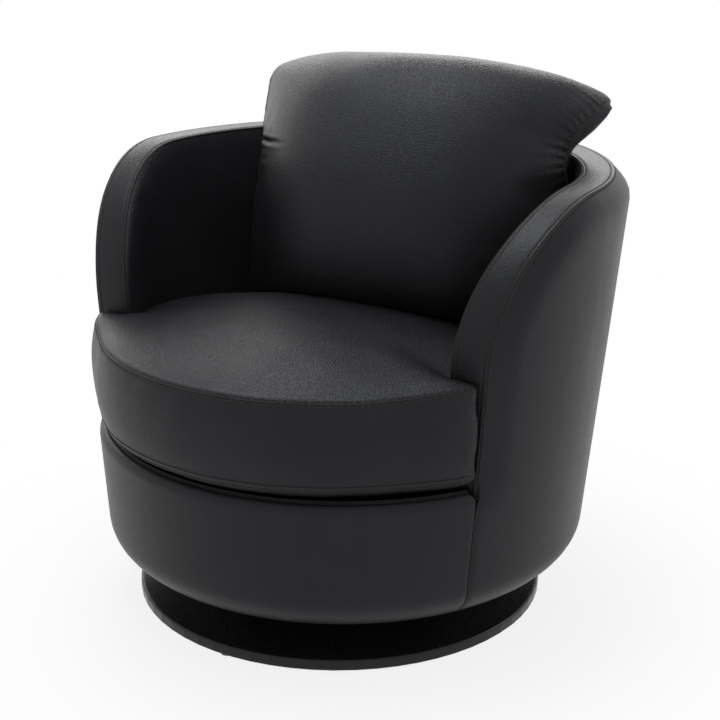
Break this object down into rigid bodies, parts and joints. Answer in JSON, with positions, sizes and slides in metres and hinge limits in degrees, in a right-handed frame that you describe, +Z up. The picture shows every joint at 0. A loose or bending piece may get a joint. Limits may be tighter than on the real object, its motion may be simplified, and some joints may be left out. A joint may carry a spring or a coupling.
{
  "type": "swivel accent chair",
  "caption": "Round leather tub chair on a swivel base disc, with a bucket-shaped padded body, a loose round-fronted seat cushion and a loose back pillow.",
  "frame": {"origin": "on the floor, on the swivel axis, at the middle of the base's underside", "axes": "+Z up along the swivel axis, -Y towards the front of the seat, +X to the right as seen from the front"},
  "size_m": [0.7956, 0.797, 0.7737],
  "materials": {
    "base": "satin black powder coat",
    "nylon": "moulded black nylon",
    "block": "black stained board",
    "steel": "zinc plated",
    "plywood": "raw birch plywood",
    "webbing": "elastic webbing",
    "lining": "black lining cloth",
    "leather": "semi-matte black leather with a fine grain",
    "zip": "black coil zip"
  },
  "bodies": {
    "base": {"base_disc": "base", "base_glide_1": "nylon", "base_glide_2": "nylon", "base_glide_3": "nylon", "base_glide_4": "nylon", "centre_glide": "nylon", "plinth_block": "block", "lower_swivel_plate": "steel", "plate_bolt_1": "steel", "plate_bolt_2": "steel", "plate_bolt_3": "steel", "plate_bolt_4": "steel", "king_bolt": "steel", "king_washer": "steel", "king_nut": "steel"},
    "bearing": {"ball_cage": "nylon", "bearing_ball_1": "steel", "bearing_ball_2": "steel", "bearing_ball_3": "steel", "bearing_ball_4": "steel", "bearing_ball_5": "steel", "bearing_ball_6": "steel", "bearing_ball_7": "steel", "bearing_ball_8": "steel"},
    "body": {"upper_swivel_plate": "steel", "seat_bolt_1": "steel", "seat_bolt_2": "steel", "seat_bolt_3": "steel", "seat_bolt_4": "steel", "bottom_board": "plywood", "dust_cover": "lining", "seat_box_front": "plywood", "seat_box_back": "plywood", "seat_box_left": "plywood", "seat_box_right": "plywood", "webbing_strap_1": "webbing", "webbing_strap_2": "webbing", "webbing_strap_3": "webbing", "webbing_strap_4": "webbing", "webbing_strap_5": "webbing", "webbing_strap_6": "webbing", "deck_cover": "lining", "outer_cover_left": "leather", "outer_cover_right": "leather", "outer_cover_back": "leather", "shell_core_left": "plywood", "shell_core_right": "plywood", "shell_core_back": "plywood", "inner_pad_left": "leather", "inner_pad_right": "leather", "inner_pad_back": "leather", "rim_band_left": "leather", "rim_band_right": "leather", "rim_band_back": "leather", "front_cover": "leather", "front_board": "plywood"},
    "cushion": {"seat_cushion": "leather", "seat_cushion_zip": "zip"},
    "pillow": {"back_pillow": "leather"}
  },
  "joints": [
    {"name": "seat_swivel", "type": "hinge", "parent": "base", "child": "body", "pos_m": [0, 0, 0.0637], "axis": [0, 0, 1], "continuous": true},
    {"name": "bearing_turn", "type": "hinge", "parent": "base", "child": "bearing", "pos_m": [0, 0, 0.0637], "axis": [0, 0, 1], "continuous": true},
    {"name": "seat_cushion_lift", "type": "slide", "parent": "body", "child": "cushion", "axis": [0, 0, 1], "range_m": [0, 0.42]},
    {"name": "back_pillow_lift", "type": "slide", "parent": "cushion", "child": "pillow", "axis": [0, 0, 1], "range_m": [0, 0.25]}
  ],
  "couplings": [
    {"joint": "bearing_turn", "follows": "seat_swivel", "ratio": 0.5}
  ]
}
